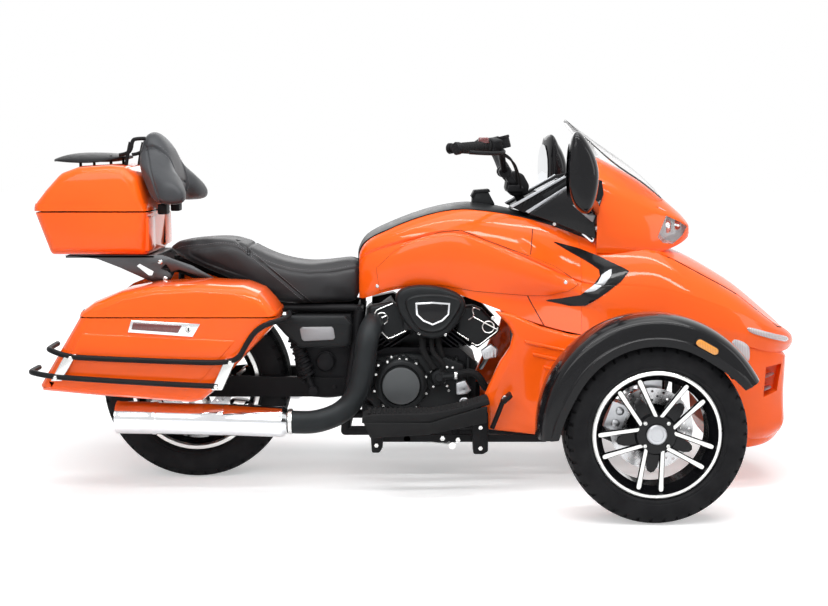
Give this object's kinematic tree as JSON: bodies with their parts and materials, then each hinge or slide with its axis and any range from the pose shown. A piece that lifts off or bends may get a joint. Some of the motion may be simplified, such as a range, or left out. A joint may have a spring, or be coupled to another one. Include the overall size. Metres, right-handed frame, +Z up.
{
  "type": "three-wheeled touring motorcycle",
  "caption": "Reverse three-wheeled touring motorcycle with steered front wheels, open V-twin engine, panniers, top case with backrest, and a front trunk.",
  "frame": {"origin": "on the ground, midway along and across the vehicle", "axes": "+X forward, +Y to the rider's left, +Z up"},
  "size_m": [2.578, 1.42, 1.247],
  "materials": {
    "orange_paint": "gloss orange",
    "black_paint": "gloss black",
    "frame_black": "satin black",
    "engine_black": "satin black",
    "chrome": "polished",
    "alloy": "machined and black",
    "steel": "brushed",
    "tyre": "matt",
    "black_plastic": "fine grain",
    "gloss_plastic": "gloss",
    "seat_leather": "fine grain",
    "lamp_glass": "clear over silver",
    "clear_screen": "clear",
    "red_lens": "gloss"
  },
  "bodies": {
    "chassis": {"frame": "frame_black", "swingarm": "frame_black", "rear_shocks": "steel", "rear_fender": "black_paint", "tail_lamp": "red_lens", "engine_case": "engine_black", "cylinders": "engine_black", "engine_covers": "engine_black", "air_cleaner": "black_plastic", "exhaust_pipes": "engine_black", "mufflers": "chrome", "radiator": "frame_black", "wishbones": "frame_black", "coilovers": "steel", "rack_housing": "frame_black", "tank_shell": "orange_paint", "tank_console": "gloss_plastic", "body_sides": "orange_paint", "front_body": "orange_paint", "cowl": "orange_paint", "windshield": "clear_screen", "headlamps": "lamp_glass", "dash": "black_plastic", "mirrors": "gloss_plastic", "lower_panels": "orange_paint", "side_covers": "black_plastic", "footboards": "frame_black", "seat": "seat_leather", "case_base": "orange_paint", "case_bracket": "steel", "pannier_left_base": "orange_paint", "pannier_right_base": "orange_paint", "pannier_guards": "frame_black"},
    "rear_wheel": {"rear_rim": "alloy", "rear_tyre": "tyre"},
    "handlebar": {"handlebar": "frame_black"},
    "hood": {"hood": "orange_paint"},
    "case_lid": {"case_lid": "orange_paint", "luggage_rack": "frame_black", "backrest": "seat_leather"},
    "pannier_lid_left": {"pannier_left_lid": "orange_paint"},
    "pannier_lid_right": {"pannier_right_lid": "orange_paint"},
    "steering_rack": {"tie_rods": "frame_black"},
    "knuckle_left": {"knuckle_left": "alloy", "front_fender_left": "black_paint"},
    "front_wheel_left": {"front_rim_left": "alloy", "front_tyre_left": "tyre"},
    "knuckle_right": {"knuckle_right": "alloy", "front_fender_right": "black_paint"},
    "front_wheel_right": {"front_rim_right": "alloy", "front_tyre_right": "tyre"}
  },
  "joints": [
    {"name": "rear_wheel_spin", "type": "hinge", "parent": "chassis", "child": "rear_wheel", "pos_m": [-0.788, 0, 0.325], "axis": [0, 1, 0], "continuous": true},
    {"name": "steering", "type": "hinge", "parent": "chassis", "child": "handlebar", "pos_m": [0.33, 0, 1.01], "axis": [-0.4226, 0, 0.9063], "range_deg": [-25, 25]},
    {"name": "hood_hinge", "type": "hinge", "parent": "chassis", "child": "hood", "pos_m": [1.227, 0, 0.5725], "axis": [0, 1, 0], "range_deg": [0, 70]},
    {"name": "case_lid_hinge", "type": "hinge", "parent": "chassis", "child": "case_lid", "pos_m": [-0.903, 0, 0.941], "axis": [0, 1, 0], "range_deg": [0, 45]},
    {"name": "pannier_lid_left_hinge", "type": "hinge", "parent": "chassis", "child": "pannier_lid_left", "pos_m": [-0.77, 0.192, 0.704], "axis": [1, 0, 0], "range_deg": [0, 45]},
    {"name": "pannier_lid_right_hinge", "type": "hinge", "parent": "chassis", "child": "pannier_lid_right", "pos_m": [-0.77, -0.192, 0.704], "axis": [-1, 0, 0], "range_deg": [0, 45]},
    {"name": "rack_slide", "type": "slide", "parent": "chassis", "child": "steering_rack", "axis": [0, 1, 0], "range_m": [-0.0415, 0.0415]},
    {"name": "knuckle_left_steer", "type": "hinge", "parent": "chassis", "child": "knuckle_left", "pos_m": [0.717, 0.48, 0.3], "axis": [0, 0, 1], "range_deg": [-25, 25]},
    {"name": "front_wheel_left_spin", "type": "hinge", "parent": "knuckle_left", "child": "front_wheel_left", "pos_m": [0.717, 0.607, 0.281], "axis": [0, 1, 0], "continuous": true},
    {"name": "knuckle_right_steer", "type": "hinge", "parent": "chassis", "child": "knuckle_right", "pos_m": [0.717, -0.48, 0.3], "axis": [0, 0, 1], "range_deg": [-25, 25]},
    {"name": "front_wheel_right_spin", "type": "hinge", "parent": "knuckle_right", "child": "front_wheel_right", "pos_m": [0.717, -0.607, 0.281], "axis": [0, 1, 0], "continuous": true}
  ],
  "couplings": [
    {"joint": "rack_slide", "follows": "steering", "m_per_rad": -0.095},
    {"joint": "knuckle_left_steer", "follows": "steering", "ratio": 1},
    {"joint": "knuckle_right_steer", "follows": "steering", "ratio": 1}
  ]
}
